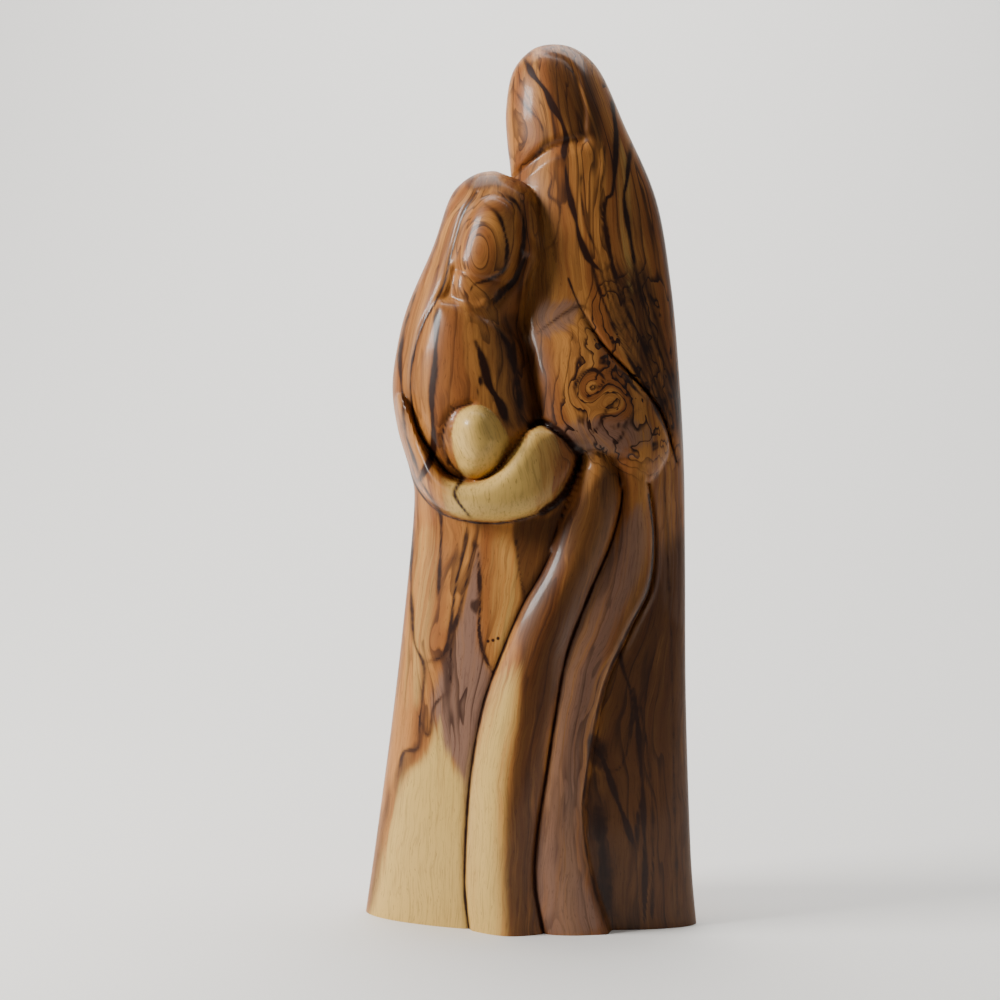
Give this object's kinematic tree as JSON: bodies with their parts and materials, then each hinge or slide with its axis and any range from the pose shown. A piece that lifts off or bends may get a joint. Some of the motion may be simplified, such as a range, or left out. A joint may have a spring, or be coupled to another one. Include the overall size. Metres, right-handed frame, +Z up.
{
  "type": "holy family carving",
  "caption": "Standing figure group carved from solid olive wood: a tall hooded figure beside a veiled figure cradling a baby, above long curved robe folds and a flat base.",
  "frame": {"origin": "centre of the bounding box, at the flat underside", "axes": "+Z up through the tall figure's head, -Y toward the carved front, +X to the right as seen from the front"},
  "size_m": [0.0948, 0.0582, 0.25],
  "materials": {
    "olive_wood": "varnished, semi-gloss, over strongly figured olive wood"
  },
  "bodies": {
    "root": {"carving": "olive_wood"}
  },
  "joints": []
}
